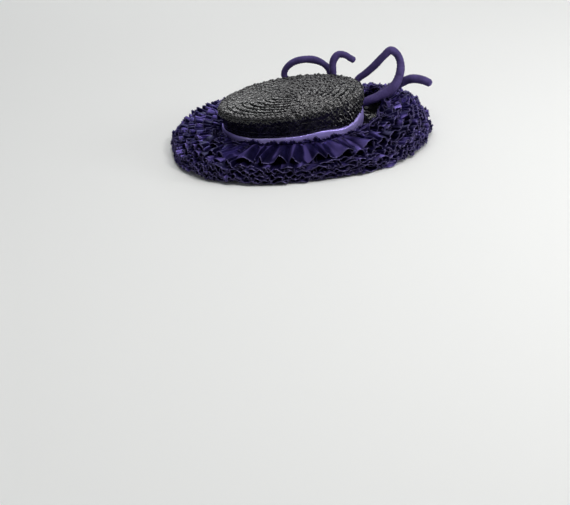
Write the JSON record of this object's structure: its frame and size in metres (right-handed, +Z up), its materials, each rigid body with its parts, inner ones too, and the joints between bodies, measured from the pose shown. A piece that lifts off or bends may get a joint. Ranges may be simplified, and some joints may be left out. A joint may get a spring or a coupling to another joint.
{
  "type": "tilt hat",
  "caption": "Small oval tilt hat with a flared straw-braid pillbox crown, a brim covered in rows of pleated ribbon, a folded ribbon band and a bow of stuffed cloth tube at the back.",
  "frame": {"origin": "on the surface the hat rests on, under the middle of its outline", "axes": "+Z up, +X towards the back of the hat along its length, -X the front, -Y the wearer's left"},
  "size_m": [0.2715, 0.2478, 0.0722],
  "materials": {
    "straw": "glossy plaited straw",
    "band_satin": "satin ribbon",
    "ruffle_ribbon": "pleated satin ribbon with a light edge",
    "bow_cloth": "matt cloth tube"
  },
  "bodies": {
    "root": {"crown": "straw", "brim": "straw", "band": "band_satin", "ruffle_tier_1": "ruffle_ribbon", "ruffle_tier_2": "ruffle_ribbon", "ruffle_tier_3": "ruffle_ribbon", "ruffle_tier_4": "ruffle_ribbon", "ruffle_tier_5": "ruffle_ribbon", "bow_loop_front": "bow_cloth", "bow_loop_back": "bow_cloth", "bow_tail_front": "bow_cloth", "bow_tail_back": "bow_cloth", "bow_knot": "bow_cloth"}
  },
  "joints": []
}
